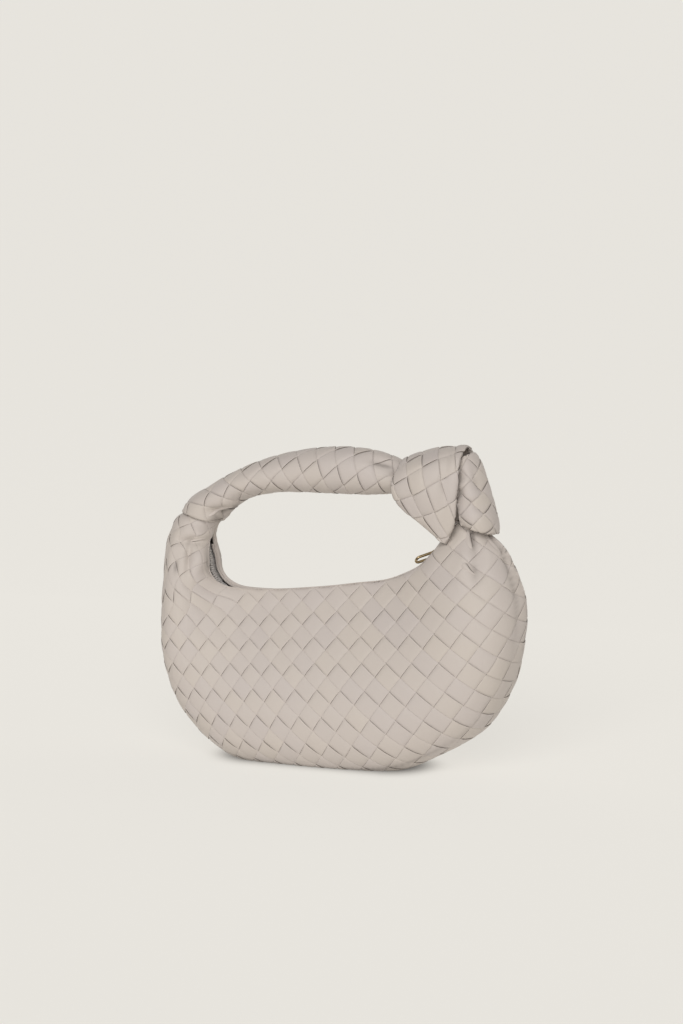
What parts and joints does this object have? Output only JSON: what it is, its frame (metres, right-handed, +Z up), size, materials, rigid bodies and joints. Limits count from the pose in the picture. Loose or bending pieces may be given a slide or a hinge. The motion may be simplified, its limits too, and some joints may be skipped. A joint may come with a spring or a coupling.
{
  "type": "woven leather handbag",
  "caption": "Small soft handbag of diagonally woven pale leather, with a tube handle tied in a knot at one shoulder and a zip along its mouth.",
  "frame": {"origin": "under the middle of the base, at the height of the surface it stands on", "axes": "+X to the right along the bag, towards the knot; +Y to the back; +Z up"},
  "size_m": [0.2765, 0.0842, 0.2336],
  "materials": {
    "woven_leather": "soft matt, woven strips",
    "edge_leather": "soft matt, rolled edge",
    "tape_fabric": "matt woven tape",
    "brass": "polished, aged"
  },
  "bodies": {
    "bag": {"pouch": "woven_leather", "handle": "woven_leather", "knot_band": "woven_leather", "knot_collar": "woven_leather", "binding_front": "edge_leather", "binding_back": "edge_leather", "zip_tape": "tape_fabric", "zip_coil": "tape_fabric", "zip_slider": "brass"},
    "pull": {"zip_pull": "brass"}
  },
  "joints": [
    {"name": "pull_hinge", "type": "hinge", "parent": "bag", "child": "pull", "pos_m": [0.07077, 0, 0.1551], "axis": [0, 1, 0], "range_deg": [0, 110]}
  ]
}
